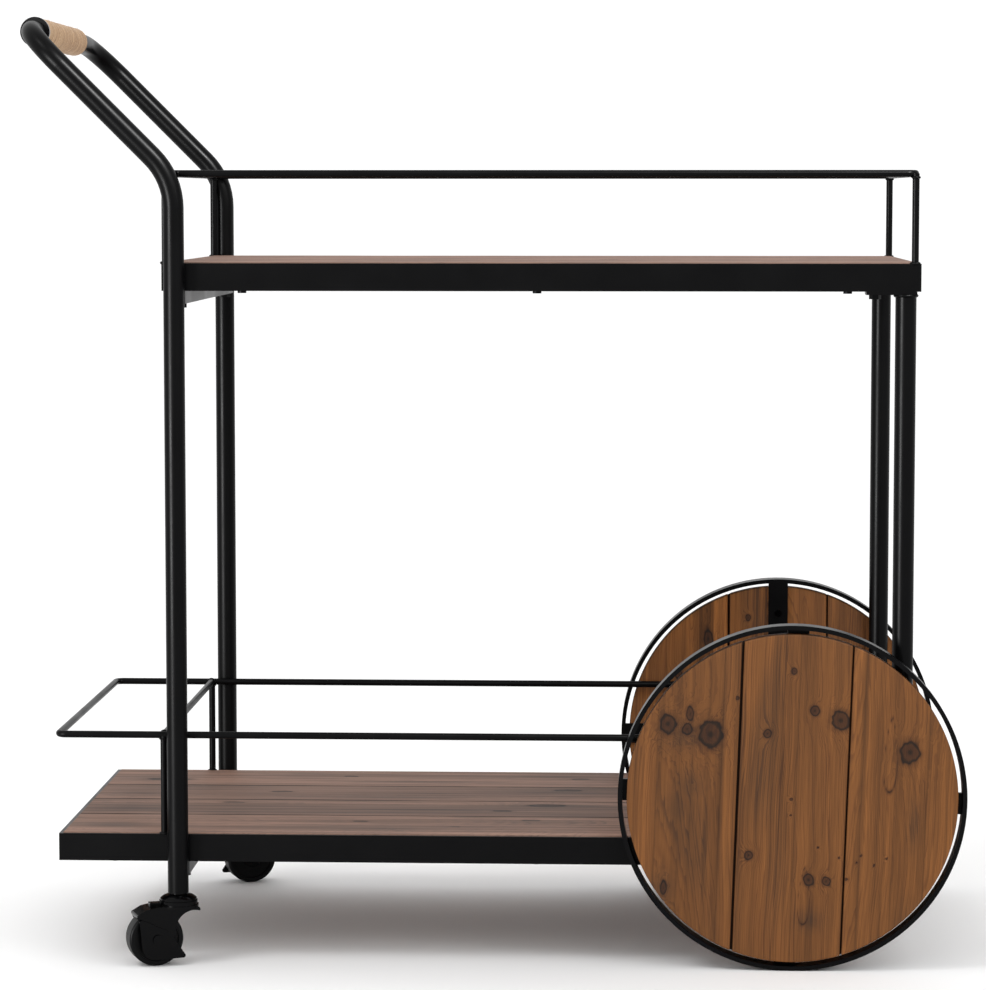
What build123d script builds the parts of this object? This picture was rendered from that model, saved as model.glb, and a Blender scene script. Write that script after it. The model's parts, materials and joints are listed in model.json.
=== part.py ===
"""Bar cart with two board-filled wheels, two swivel casters and a twine-wrapped push handle.

Millimetres. The origin is on the floor under the middle of the cart. +X points to the big wheels,
+Y to the far side and +Z up. The handle is at the -X end.
"""
from build123d import *
from math import cos, radians, sin
import os

os.makedirs("parts", exist_ok=True)

CENTRED_ON_BASE = (Align.CENTER, Align.CENTER, Align.MIN)
SIDES = (("near", -1), ("far", 1))
ACROSS_Y = Plane(origin=(0, 0, 0), x_dir=(-1, 0, 0), z_dir=(0, 1, 0))   # its own x runs along -X

# Driving dimensions: tube frame
tube_r = 9.5
tube_wall = 1.2
leg_x = -284.0           # axis of the handle-side legs
leg_y = 190.0
leg_bottom = 65.5
bend_z = 716.0           # where the leg's axis meets the sloping part's axis
bend_r = 65.0
handle_reach = 133.4     # sloping part, measured along X; it slopes at 45 degrees
corner_r = 45.0
wheel_leg_x = 375.0      # axis of the wheel-side legs
wheel_leg_y = 171.0

# Driving dimensions: shelves of angle iron and boards
shelf_depth = 361.0
shelf_right = 388.0
upper_left = -296.5
lower_left = -395.0
upper_base = 614.3
lower_base = 92.1
angle_leg = 25.0
angle_t = 3.0
board_proud = 1.0        # boards stand this much above the angle iron
board_end_gap = 0.4
board_seams = (-81.0, 2.0, 85.0)
seam_gap = 0.8

# Driving dimensions: rails of round rod
rod_r = 3.2
rail_corner_r = 7.0
upper_rail_z = 720.0
upper_rail_left = -293.2
upper_rail_right = 382.5
lower_rail_z = 208.5
lower_rail_left = -395.2
bay_x = -298.0           # rod and posts between the bottle bay and the shelf

# Driving dimensions: big wheels, measured outwards from the cart's middle plane
wheel_x = 275.0
wheel_r = 157.5
hoop_t = 4.0
hoop_in, hoop_out = 183.5, 201.5
strap_w = 19.5
strap_in, strap_out = 184.0, 188.0
disc_r = 149.4
disc_out = 202.5
disc_seam = 49.5
disc_seam_gap = 0.4
hub_r = 12.0
hub_in, hub_out = 182.3, 196.0
pocket_r = 14.0
pocket_out = 200.0
axle_r = 6.0
axle_end = 199.0
running_gap = 0.05
wheel_turn = {"near": -2.0, "far": 0.0}   # how far each wheel has rolled at rest, degrees

# Driving dimensions: grip
grip_near, grip_far = -130.0, 87.0
sleeve_r = 11.5
wrap_r = 13.5
collar_r = 13.6
collar_len = 4.0

# Driving dimensions: casters, drawn with the swivel axis on Z and the wheel trailing along +X
caster_trail = 22.5
caster_r = 25.0
caster_hub_r = 20.5
caster_half_width = 10.0
fork_in, fork_out = 10.8, 12.8
clearance_r = 26.5       # inside of the fork's hood, from the caster axle
crown_base, crown_top = 54.8, 58.5
crown_r = 17.5
crown_plate_r, crown_plate_t = 18.5, 2.4
race_base, race_top = 58.8, 64.2
race_r = 16.8
nut_base, nut_top = 49.9, 52.0
nut_r = 7.0
pin_r = 4.0
axle_cap_r, axle_cap_t = 4.8, 1.5
lever_in, lever_out = 13.1, 15.1
caster_turn = {"near": 200.9, "far": 20.9}

# Driving dimensions: fasteners
screw_r = 2.0
screw_head_r = 4.0
screw_head_h = 2.2
bolt_r = 3.0
bolt_head_r = 5.5
bolt_head_h = 4.0
hole_gap = 0.05

# Worked out from the above
half_depth = shelf_depth / 2
grip_x = leg_x - handle_reach
grip_z = bend_z + handle_reach
rail_y = half_depth - rod_r
flange_mid_y = half_depth - angle_leg / 2 - 2
side_screws_upper = (-225.0, 43.0, 323.0)
side_screws_lower = (-345.0, -225.0, 43.0, 323.0)
end_screw_y = 42.0
bar_w, bar_h, bar_wall = 19.0, 11.5, 1.5
bar_bolt_x = leg_x + 3.0
plate_w, plate_t = 25.0, 3.0
plate_reach = 36.0       # fixing plate, from the leg's axis towards the handle
plate_bolt_x = wheel_leg_x - 27.5
plate_y = half_depth - plate_w / 2


def drill(points, radius, depth):
    """Cuts one hole upwards from each point."""
    with Locations(*points):
        Cylinder(radius, depth, align=CENTRED_ON_BASE, mode=Mode.SUBTRACT)


def rods(points, radius, start, end, along="Z"):
    """Adds one rod at each point of the plane across the named axis, from start to end on it."""
    plane = {"X": Plane.YZ, "Y": ACROSS_Y, "Z": Plane.XY}[along]
    with BuildSketch(plane.offset(start)) as section:
        with Locations(*points):
            Circle(radius)
    extrude(section.sketch, amount=end - start)


def facing(side, distance, turn=0.0):
    """A plane across the wheel axle, facing outwards, at a distance from the cart's middle plane."""
    across = (-side * cos(radians(turn)), 0, sin(radians(turn)))
    return Plane(origin=(wheel_x, side * distance, wheel_r), x_dir=across, z_dir=(0, side, 0))


def shelf_holes(side_x, base):
    """Screw positions along both sides and at the wheel end of one shelf."""
    at_sides = [(x, s * flange_mid_y, base) for x in side_x for s in (-1, 1)]
    at_end = [(shelf_right - angle_leg / 2, s * end_screw_y, base) for s in (-1, 1)]
    return at_sides + at_end


screws = {
    "upper": shelf_holes(side_screws_upper, upper_base),
    "lower": shelf_holes(side_screws_lower, lower_base),
}
bar_bolts = {
    "upper": [(bar_bolt_x, s * flange_mid_y, upper_base) for s in (-1, 1)],
    "lower": [(bar_bolt_x, s * flange_mid_y, lower_base) for s in (-1, 1)],
}
upper_plate_bolts = [(plate_bolt_x, s * plate_y, upper_base) for s in (-1, 1)]
lower_plate_bolts = [(plate_bolt_x, s * plate_y, lower_base) for s in (-1, 1)]
posts = {
    "upper": [(x, s * rail_y) for x in (upper_rail_left, upper_rail_right) for s in (-1, 1)],
    "lower": [(bay_x, s * rail_y) for s in (-1, 1)],
}
board_top = {"upper": upper_base + angle_leg + board_proud, "lower": lower_base + angle_leg + board_proud}

# Handle frame: one tube, up one leg, over the handle and down the other
with BuildPart() as handle_frame:
    with BuildLine():
        FilletPolyline(
            (leg_x, -leg_y, leg_bottom),
            (leg_x, -leg_y, bend_z),
            (grip_x, -leg_y, grip_z),
            (grip_x, leg_y, grip_z),
            (leg_x, leg_y, bend_z),
            (leg_x, leg_y, leg_bottom),
            radius=[bend_r, corner_r, corner_r, bend_r],
        )
    with BuildSketch(Plane.XY.offset(leg_bottom)):
        with Locations((leg_x, -leg_y)):
            Circle(tube_r)
            Circle(tube_r - tube_wall, mode=Mode.SUBTRACT)
    sweep()
handle_frame.part.label = "handle_frame"
export_step(handle_frame.part, "parts/handle_frame.step")

# Grip: a sleeve on the handle with a collar at its near end, and the twine wound on it
with BuildPart() as grip_sleeve:
    with BuildSketch(ACROSS_Y.offset(grip_near - collar_len)):
        with Locations((-grip_x, grip_z)):
            Circle(collar_r)
            Circle(tube_r + hole_gap, mode=Mode.SUBTRACT)
    extrude(amount=collar_len)
    with BuildSketch(ACROSS_Y.offset(grip_near)):
        with Locations((-grip_x, grip_z)):
            Circle(sleeve_r)
            Circle(tube_r + hole_gap, mode=Mode.SUBTRACT)
    extrude(amount=grip_far - grip_near)
grip_sleeve.part.label = "grip_sleeve"
export_step(grip_sleeve.part, "parts/grip_sleeve.step")

with BuildPart() as grip_wrap:
    with BuildSketch(ACROSS_Y.offset(grip_near)):
        with Locations((-grip_x, grip_z)):
            Circle(wrap_r)
            Circle(sleeve_r + hole_gap, mode=Mode.SUBTRACT)
    extrude(amount=grip_far - grip_near)
grip_wrap.part.label = "grip_wrap"
export_step(grip_wrap.part, "parts/grip_wrap.step")


def shelf_frame(left, base, holes, bolt_holes):
    """A rectangle of angle iron, one flange upright outside and one flat under the boards."""
    length = shelf_right - left
    middle = (shelf_right + left) / 2
    with BuildPart() as frame:
        with Locations((middle, 0, base)):
            Box(length, shelf_depth, angle_leg, align=CENTRED_ON_BASE)
            Box(
                length - 2 * angle_leg,
                shelf_depth - 2 * angle_leg,
                angle_leg,
                align=CENTRED_ON_BASE,
                mode=Mode.SUBTRACT,
            )
        with Locations((middle, 0, base + angle_t)):
            Box(
                length - 2 * angle_t,
                shelf_depth - 2 * angle_t,
                angle_leg,
                align=CENTRED_ON_BASE,
                mode=Mode.SUBTRACT,
            )
        drill(holes, screw_r + hole_gap, angle_t)
        drill(bolt_holes, bolt_r + hole_gap, angle_t)
    return frame


upper_frame = shelf_frame(upper_left, upper_base, screws["upper"], bar_bolts["upper"] + upper_plate_bolts)
upper_frame.part.label = "upper_frame"
export_step(upper_frame.part, "parts/upper_frame.step")

lower_frame = shelf_frame(lower_left, lower_base, screws["lower"], bar_bolts["lower"] + lower_plate_bolts)
lower_frame.part.label = "lower_frame"
export_step(lower_frame.part, "parts/lower_frame.step")


def shelf_board(shelf, left, base, y_low, y_high):
    """One board, drilled from below for the fasteners under it and notched round the rail's posts."""
    x_low = left + angle_t + board_end_gap
    x_high = shelf_right - angle_t - board_end_gap
    low = base + angle_t
    thick = board_top[shelf] - low
    here = [p for p in screws[shelf] if y_low < p[1] < y_high]
    bolts_here = [p for p in bar_bolts[shelf] + upper_plate_bolts if y_low < p[1] < y_high]
    with BuildPart() as board:
        with Locations(((x_low + x_high) / 2, (y_low + y_high) / 2, low)):
            Box(x_high - x_low, y_high - y_low, thick, align=CENTRED_ON_BASE)
        drill([(x, y, low) for x, y, z in here], screw_r + hole_gap, 13.0)
        if bolts_here:
            drill([(x, y, low) for x, y, z in bolts_here], bolt_r + hole_gap, 13.0)
            with Locations(*[(x, y, base + angle_leg) for x, y in posts[shelf]]):
                Cylinder(rod_r + 0.4, 2 * board_proud, align=CENTRED_ON_BASE, mode=Mode.SUBTRACT)
        if bolts_here and shelf == "lower":
            lower_bolt_top = [(x, y, board_top["lower"]) for x, y, z in bolts_here if x > 0]
            with Locations(*lower_bolt_top):
                Cylinder(bolt_r + hole_gap, 2 * thick, mode=Mode.SUBTRACT)
    return board


inner_y = half_depth - angle_t - board_end_gap
board_edges = (-inner_y, *board_seams, inner_y)
for shelf, left, base in (("upper", upper_left, upper_base), ("lower", lower_left, lower_base)):
    for number in range(4):
        y_low = board_edges[number] + (seam_gap / 2 if number > 0 else 0)
        y_high = board_edges[number + 1] - (seam_gap / 2 if number < 3 else 0)
        board = shelf_board(shelf, left, base, y_low, y_high)
        board.part.label = f"{shelf}_board_{number + 1}"
        export_step(board.part, f"parts/{shelf}_board_{number + 1}.step")


def rail_end(x_end, x_join, z):
    """Half of a rail's loop: along one side, round the end and back along the other side."""
    with BuildLine() as path:
        FilletPolyline(
            (x_join, -rail_y, z),
            (x_end, -rail_y, z),
            (x_end, rail_y, z),
            (x_join, rail_y, z),
            radius=rail_corner_r,
        )
    with BuildSketch(Plane.YZ.offset(x_join)) as section:
        with Locations((-rail_y, z)):
            Circle(rod_r)
    sweep(section.sketch, path=path.line)


with BuildPart() as upper_rail:
    rail_end(upper_rail_left, 0.0, upper_rail_z)
    rail_end(upper_rail_right, 0.0, upper_rail_z)
    rods(posts["upper"], rod_r, upper_base + angle_leg, upper_rail_z)
upper_rail.part.label = "upper_rail"
export_step(upper_rail.part, "parts/upper_rail.step")

# Lower rail: closed by the wheel-side legs, so its rods are cut to their round
with BuildPart() as lower_rail:
    rail_end(lower_rail_left, 0.0, lower_rail_z)
    rods([(s * rail_y, lower_rail_z) for s in (-1, 1)], rod_r, 0.0, wheel_leg_x, along="X")
    rods([(-bay_x, lower_rail_z)], rod_r, -rail_y, rail_y, along="Y")
    rods(posts["lower"], rod_r, lower_base + angle_leg, lower_rail_z)
    with Locations(*[(wheel_leg_x, s * wheel_leg_y, lower_rail_z) for s in (-1, 1)]):
        Cylinder(tube_r, 4 * rod_r, mode=Mode.SUBTRACT)
lower_rail.part.label = "lower_rail"
export_step(lower_rail.part, "parts/lower_rail.step")

with BuildPart() as lower_end_rod:
    rods([(-wheel_leg_x, lower_rail_z)], rod_r, -wheel_leg_y, wheel_leg_y, along="Y")
    with Locations(*[(wheel_leg_x, s * wheel_leg_y, lower_rail_z) for s in (-1, 1)]):
        Cylinder(tube_r, 4 * rod_r, mode=Mode.SUBTRACT)
lower_end_rod.part.label = "lower_end_rod"
export_step(lower_end_rod.part, "parts/lower_end_rod.step")


def cross_bar(base, bolts):
    """A flat rectangular tube between the handle legs, coped to their round."""
    with BuildPart() as bar:
        with Locations((leg_x, 0, base - bar_h)):
            Box(bar_w, shelf_depth + 8.0, bar_h, align=CENTRED_ON_BASE)
        with Locations((leg_x, 0, base - bar_h + bar_wall)):
            Box(
                bar_w - 2 * bar_wall,
                shelf_depth + 8.0,
                bar_h - 2 * bar_wall,
                align=CENTRED_ON_BASE,
                mode=Mode.SUBTRACT,
            )
        with Locations(*[(leg_x, s * leg_y, base) for s in (-1, 1)]):
            Cylinder(tube_r, 4 * bar_h, mode=Mode.SUBTRACT)
        drill([(x, y, base - bar_h) for x, y, z in bolts], bolt_r + hole_gap, bar_h)
    return bar


upper_cross_bar = cross_bar(upper_base, bar_bolts["upper"])
upper_cross_bar.part.label = "upper_cross_bar"
export_step(upper_cross_bar.part, "parts/upper_cross_bar.step")

lower_cross_bar = cross_bar(lower_base, bar_bolts["lower"])
lower_cross_bar.part.label = "lower_cross_bar"
export_step(lower_cross_bar.part, "parts/lower_cross_bar.step")


def fixing_plate(side, base):
    """The plate at one end of a wheel-side leg, with its bolt hole."""
    with Locations((wheel_leg_x + (tube_r - plate_reach) / 2, side * plate_y, base)):
        Box(plate_reach + tube_r, plate_w, plate_t, align=CENTRED_ON_BASE)
    drill([(plate_bolt_x, side * plate_y, base)], bolt_r + hole_gap, plate_t)


for name, side in SIDES:
    foot = board_top["lower"] + plate_t
    head = upper_base - plate_t
    with BuildPart() as wheel_leg:
        with Locations((wheel_leg_x, side * wheel_leg_y, foot)):
            Cylinder(tube_r, head - foot, align=CENTRED_ON_BASE)
            Cylinder(tube_r - tube_wall, head - foot, align=CENTRED_ON_BASE, mode=Mode.SUBTRACT)
        fixing_plate(side, foot - plate_t)
        fixing_plate(side, head)
    wheel_leg.part.label = f"{name}_wheel_leg"
    export_step(wheel_leg.part, f"parts/{name}_wheel_leg.step")

# Axle plates: welded between the lower frame and its rail, with a boss that holds the axle
axle_plate_w = 40.0
boss_r, boss_len = 11.0, 12.0
for name, side in SIDES:
    plate_base = lower_base + angle_leg
    plate_top = lower_rail_z - rod_r
    with BuildPart() as axle_plate:
        with Locations((wheel_x, side * (half_depth - angle_t / 2), plate_base)):
            Box(axle_plate_w, angle_t, plate_top - plate_base, align=CENTRED_ON_BASE)
        with BuildSketch(facing(side, half_depth - angle_t - boss_len)):
            Circle(boss_r)
        extrude(amount=boss_len)
        with BuildSketch(facing(side, half_depth - angle_t - boss_len)):
            Circle(axle_r + running_gap)
        extrude(amount=boss_len + angle_t, mode=Mode.SUBTRACT)
    axle_plate.part.label = f"{name}_axle_plate"
    export_step(axle_plate.part, f"parts/{name}_axle_plate.step")

# Axles: a hex head inboard and a plain shank out through the hub
axle_head_t = 8.0
for name, side in SIDES:
    shoulder = half_depth - angle_t - boss_len
    with BuildPart() as axle:
        with BuildSketch(facing(side, shoulder - axle_head_t)):
            RegularPolygon(10.0, 6)
        extrude(amount=axle_head_t)
        with BuildSketch(facing(side, shoulder)):
            Circle(axle_r)
        extrude(amount=axle_end - shoulder)
    axle.part.label = f"{name}_axle"
    export_step(axle.part, f"parts/{name}_axle.step")

# Washers between plate and hub, and the rings that keep the hubs on
with BuildPart() as axle_washers:
    for name, side in SIDES:
        for start, thick, radius in ((half_depth, 1.5, 11.0), (hub_out + 0.3, 1.5, 10.0)):
            with BuildSketch(facing(side, start)):
                Circle(radius)
                Circle(axle_r + running_gap, mode=Mode.SUBTRACT)
            extrude(amount=thick)
axle_washers.part.label = "axle_washers"
export_step(axle_washers.part, "parts/axle_washers.step")

# Big wheels. Screw places are on the straps, measured from the axle: along, then up
level_screws = [(x, 0.0) for x in (-126.0, -72.0, -30.0, 30.0, 72.0, 126.0)]
upright_screws = [(0.0, z) for z in (-123.0, -62.0, 62.0, 123.0)]
wheel_screws = level_screws + upright_screws
screw_bite = 9.0

for name, side in SIDES:
    turn = side * -wheel_turn[name]
    with BuildPart() as rim:
        with BuildSketch(facing(side, hoop_in)):
            Circle(wheel_r)
            Circle(wheel_r - hoop_t, mode=Mode.SUBTRACT)
        extrude(amount=hoop_out - hoop_in)
        with BuildSketch(facing(side, strap_in)):
            for tilt in (turn, turn + 90):
                Rectangle(2 * (wheel_r - hoop_t) + 1.0, strap_w, rotation=tilt)
        extrude(amount=strap_out - strap_in)
        with BuildSketch(facing(side, hub_in)):
            Circle(hub_r)
        extrude(amount=hub_out - hub_in)
        with BuildSketch(facing(side, hub_in)):
            Circle(axle_r + running_gap)
        extrude(amount=hub_out - hub_in, mode=Mode.SUBTRACT)
        with BuildSketch(facing(side, strap_in, turn)):
            with Locations(*wheel_screws):
                Circle(screw_r + hole_gap)
        extrude(amount=strap_out - strap_in, mode=Mode.SUBTRACT)
    rim.part.label = f"{name}_wheel_rim"
    export_step(rim.part, f"parts/{name}_wheel_rim.step")

    half_gap = disc_seam_gap / 2
    strips = (
        (-disc_r, -disc_seam - half_gap),
        (-disc_seam + half_gap, disc_seam - half_gap),
        (disc_seam + half_gap, disc_r),
    )
    for number, (low, high) in enumerate(strips):
        with BuildPart() as wheel_board:
            with BuildSketch(facing(side, strap_out, turn)):
                Circle(disc_r)
                with Locations(((low + high) / 2, 0)):
                    Rectangle(high - low, 2 * disc_r, mode=Mode.INTERSECT)
            extrude(amount=disc_out - strap_out)
            with BuildSketch(facing(side, strap_out, turn)):
                with Locations(*[p for p in wheel_screws if low < p[0] < high]):
                    Circle(screw_r + hole_gap)
            extrude(amount=screw_bite, mode=Mode.SUBTRACT)
            if number == 1:
                with BuildSketch(facing(side, strap_out)):
                    Circle(pocket_r)
                extrude(amount=pocket_out - strap_out, mode=Mode.SUBTRACT)
        wheel_board.part.label = f"{name}_wheel_board_{number + 1}"
        export_step(wheel_board.part, f"parts/{name}_wheel_board_{number + 1}.step")

    with BuildPart() as wheel_screw_set:
        with BuildSketch(facing(side, strap_in - 1.4, turn)):
            with Locations(*wheel_screws):
                Circle(3.4)
        extrude(amount=1.4)
        with BuildSketch(facing(side, strap_in, turn)):
            with Locations(*wheel_screws):
                Circle(screw_r)
        extrude(amount=strap_out - strap_in + screw_bite - 1.0)
    wheel_screw_set.part.label = f"{name}_wheel_screws"
    export_step(wheel_screw_set.part, f"parts/{name}_wheel_screws.step")

# Screws up through the angle iron into the boards
with BuildPart() as shelf_screws:
    for shelf in ("upper", "lower"):
        with Locations(*screws[shelf]):
            Cylinder(screw_r, angle_t + 12.0, align=CENTRED_ON_BASE)
        with Locations(*[(x, y, z - screw_head_h) for x, y, z in screws[shelf]]):
            Cylinder(screw_head_r, screw_head_h, align=CENTRED_ON_BASE)
shelf_screws.part.label = "shelf_screws"
export_step(shelf_screws.part, "parts/shelf_screws.step")


def hex_bolts(heads, length):
    """Hex bolts that point up from the undersides of their heads at the given points."""
    for x, y, z in heads:
        with BuildSketch(Plane.XY.offset(z)) as head:
            with Locations((x, y)):
                RegularPolygon(bolt_head_r, 6)
        extrude(head.sketch, amount=bolt_head_h)
    with Locations(*[(x, y, z + bolt_head_h) for x, y, z in heads]):
        Cylinder(bolt_r, length, align=CENTRED_ON_BASE)


with BuildPart() as cross_bar_bolts:
    for shelf in ("upper", "lower"):
        hex_bolts([(x, y, z - bar_h - bolt_head_h) for x, y, z in bar_bolts[shelf]], bar_h + angle_t + 12.0)
cross_bar_bolts.part.label = "cross_bar_bolts"
export_step(cross_bar_bolts.part, "parts/cross_bar_bolts.step")

# Leg plate bolts: upper ones point up into the boards, lower ones pass down through board and frame
with BuildPart() as leg_plate_bolts:
    hex_bolts([(x, y, z - plate_t - bolt_head_h) for x, y, z in upper_plate_bolts], plate_t + angle_t + 12.0)
    bolt_seat = board_top["lower"] + plate_t
    for x, y, z in lower_plate_bolts:
        with BuildSketch(Plane.XY.offset(bolt_seat)):
            with Locations((x, y)):
                RegularPolygon(bolt_head_r, 6)
        extrude(amount=bolt_head_h)
    with Locations(*[(x, y, z) for x, y, z in lower_plate_bolts]):
        Cylinder(bolt_r, bolt_seat - lower_base, align=CENTRED_ON_BASE)
leg_plate_bolts.part.label = "leg_plate_bolts"
export_step(leg_plate_bolts.part, "parts/leg_plate_bolts.step")

# Casters, drawn once and placed twice
axle_at = (caster_trail, caster_r)

with BuildPart() as caster_stem:
    with Locations((0, 0, leg_bottom)):
        Cylinder(tube_r - tube_wall - 0.1, 40.0, align=CENTRED_ON_BASE)
    with Locations((0, 0, race_top)):
        Cylinder(7.5, leg_bottom - race_top, align=CENTRED_ON_BASE)
    with BuildSketch(Plane.XZ) as race_section:
        with BuildLine():
            Polyline((0, race_base), (race_r, race_base), (race_r, race_base + 1.6))
            ThreePointArc((race_r, race_base + 1.6), (race_r - 3.6, race_top - 1.2), (8.0, race_top))
            Polyline((8.0, race_top), (0, race_top), (0, race_base))
        make_face()
    revolve(axis=Axis.Z)
    rods([(0, 0)], pin_r, nut_top, race_base)
    rods([(0, 0)], nut_r, nut_base, nut_top)

# Caster fork: two side plates under a crown, joined by a hood that follows the wheel
hood_r = clearance_r + 1.0
hood_corners = [
    (caster_trail + hood_r * cos(radians(a)), caster_r + hood_r * sin(radians(a)))
    for a in (90, 70, 52)
]
web_base = crown_base - crown_plate_t - 0.2

with BuildPart() as caster_fork:
    with BuildSketch(Plane.XZ.offset(-fork_out)):
        with Locations(axle_at):
            Circle(9.0)
        with Locations((-14.5, 50.7)):
            Circle(3.0)
        with Locations(*hood_corners):
            Circle(2.0)
        make_hull()
    extrude(amount=2 * fork_out)
    with Locations((20.0, 0, web_base)):
        Box(50.0, 2 * fork_in, 60.0, align=(Align.MAX, Align.CENTER, Align.MAX), mode=Mode.SUBTRACT)
    with BuildSketch(Plane.XZ.offset(-fork_in)):
        with Locations(axle_at):
            Circle(clearance_r)
    extrude(amount=2 * fork_in, mode=Mode.SUBTRACT)
    with BuildSketch(Plane.XZ.offset(-fork_out)):
        with Locations((-12.0, 33.0)):
            Circle(17.3)
    extrude(amount=2 * fork_out, mode=Mode.SUBTRACT)
    with Locations((0, 0, crown_base - crown_plate_t)):
        Cylinder(crown_plate_r, crown_plate_t, align=CENTRED_ON_BASE)
    with Locations((0, 0, crown_base)):
        Cylinder(crown_r, crown_top - crown_base, align=CENTRED_ON_BASE)
    with Locations((19.0, 0, crown_base - 1.0)):
        Box(17.0, 7.6, 3.6, align=CENTRED_ON_BASE)
    with Locations((0, 0, crown_top)):
        Cylinder(pin_r + running_gap, 30.0, mode=Mode.SUBTRACT)
    with BuildSketch(Plane.XZ.offset(-fork_out)):
        with Locations(axle_at):
            Circle(pin_r + running_gap)
    extrude(amount=2 * fork_out, mode=Mode.SUBTRACT)

with BuildPart() as caster_axle:
    with BuildSketch(Plane.XZ.offset(fork_out)):
        with Locations(axle_at):
            Circle(axle_cap_r)
    extrude(amount=axle_cap_t)
    with BuildSketch(Plane.XZ.offset(-lever_out - 0.3)):
        with Locations(axle_at):
            Circle(pin_r)
    extrude(amount=fork_out + lever_out + 0.3)
    with BuildSketch(Plane.XZ.offset(-lever_out - 0.3 - axle_cap_t)):
        with Locations(axle_at):
            Circle(axle_cap_r)
    extrude(amount=axle_cap_t)

with BuildPart() as caster_tread:
    with BuildSketch(Plane.XZ.offset(-caster_half_width)):
        with Locations(axle_at):
            Circle(caster_r)
            Circle(caster_hub_r, mode=Mode.SUBTRACT)
    extrude(amount=2 * caster_half_width)
    fillet(caster_tread.edges().filter_by(GeomType.CIRCLE).group_by(SortBy.RADIUS)[-1], 2.5)

with BuildPart() as caster_hub:
    with BuildSketch(Plane.XZ.offset(-8.0)):
        with Locations(axle_at):
            Circle(caster_hub_r)
    extrude(amount=16.0)
    with BuildSketch(Plane.XZ.offset(-10.4)):
        with Locations(axle_at):
            Circle(8.0)
    extrude(amount=20.8)
    with BuildSketch(Plane.XZ.offset(-10.4)):
        with Locations(axle_at):
            Circle(pin_r + running_gap)
    extrude(amount=20.8, mode=Mode.SUBTRACT)

with BuildPart() as caster_brake:
    with BuildSketch(Plane.XZ.offset(-lever_out)):
        with Locations((24.0, 20.0)):
            Circle(13.5)
        with Locations((16.5, 27.0)):
            Circle(6.5)
        with Locations((37.5, 42.0), (-1.0, 9.5)):
            Circle(2.0)
        make_hull()
    extrude(amount=lever_out - lever_in)
    with BuildSketch(Plane.XZ.offset(-lever_out)):
        with Locations(axle_at):
            Circle(pin_r + running_gap)
    extrude(amount=lever_out - lever_in, mode=Mode.SUBTRACT)

caster_pieces = {
    "stem": caster_stem,
    "fork": caster_fork,
    "axle": caster_axle,
    "tread": caster_tread,
    "hub": caster_hub,
    "brake": caster_brake,
}
for name, side in SIDES:
    place = Location((leg_x, side * leg_y, 0), (0, 0, caster_turn[name]))
    for piece_name, piece in caster_pieces.items():
        placed = place * piece.part
        placed.label = f"{name}_caster_{piece_name}"
        export_step(placed, f"parts/{name}_caster_{piece_name}.step")
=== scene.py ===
# %% [markdown]
# # A bar cart, dressed in Blender
#
# The cart is a welded steel frame with two shelves of reclaimed boards, two big wheels
# filled with boards, two small swivel casters and a push handle wound with jute twine.
# The metalwork comes from the imported model and stays exactly where it is. This lesson
# gives every metal piece its finish, and makes again, as numpy surfaces, the pieces whose
# looks depend on relief: the boards and the twine. It adds the weld beads at the rods' ends
# and the loose hairs of the jute, which are too small and too many for the imported model.
# All lengths are in metres, +X points to the big wheels, +Y to the far side and +Z up.

# %% Load the imported model
import json
from math import cos, pi, radians, sin
import bpy
import numpy as np
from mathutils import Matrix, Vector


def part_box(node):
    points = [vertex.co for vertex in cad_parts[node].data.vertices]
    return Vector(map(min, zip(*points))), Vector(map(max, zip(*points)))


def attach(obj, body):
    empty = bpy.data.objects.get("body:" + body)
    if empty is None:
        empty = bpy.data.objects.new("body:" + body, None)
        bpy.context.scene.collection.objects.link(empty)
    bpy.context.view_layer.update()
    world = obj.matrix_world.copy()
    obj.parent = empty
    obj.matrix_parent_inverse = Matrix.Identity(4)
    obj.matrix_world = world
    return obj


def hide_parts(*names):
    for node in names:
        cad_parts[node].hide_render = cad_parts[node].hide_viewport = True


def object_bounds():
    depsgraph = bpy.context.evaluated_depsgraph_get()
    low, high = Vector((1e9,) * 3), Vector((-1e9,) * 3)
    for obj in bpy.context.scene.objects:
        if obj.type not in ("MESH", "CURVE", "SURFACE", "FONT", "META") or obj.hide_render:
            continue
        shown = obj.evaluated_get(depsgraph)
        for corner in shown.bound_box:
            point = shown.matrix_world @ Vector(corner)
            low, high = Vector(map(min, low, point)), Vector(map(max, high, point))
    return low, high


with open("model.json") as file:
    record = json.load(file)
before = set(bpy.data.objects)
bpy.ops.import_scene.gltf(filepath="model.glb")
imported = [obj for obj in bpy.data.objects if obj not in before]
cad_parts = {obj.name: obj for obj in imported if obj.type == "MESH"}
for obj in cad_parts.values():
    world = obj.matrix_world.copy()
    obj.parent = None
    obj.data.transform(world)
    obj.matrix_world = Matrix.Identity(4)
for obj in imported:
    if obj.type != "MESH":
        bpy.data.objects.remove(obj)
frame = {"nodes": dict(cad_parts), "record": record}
nodes = frame["nodes"]
cad_low, cad_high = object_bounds()
MM = 0.001

# %% [markdown]
# ## Camera
#
# The cart is seen almost square from one long side, from a little above the upper shelf
# and from more than three metres away, so a long lens keeps the legs nearly parallel.
# The two angles turn the view a little towards the handle and a little down.

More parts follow.
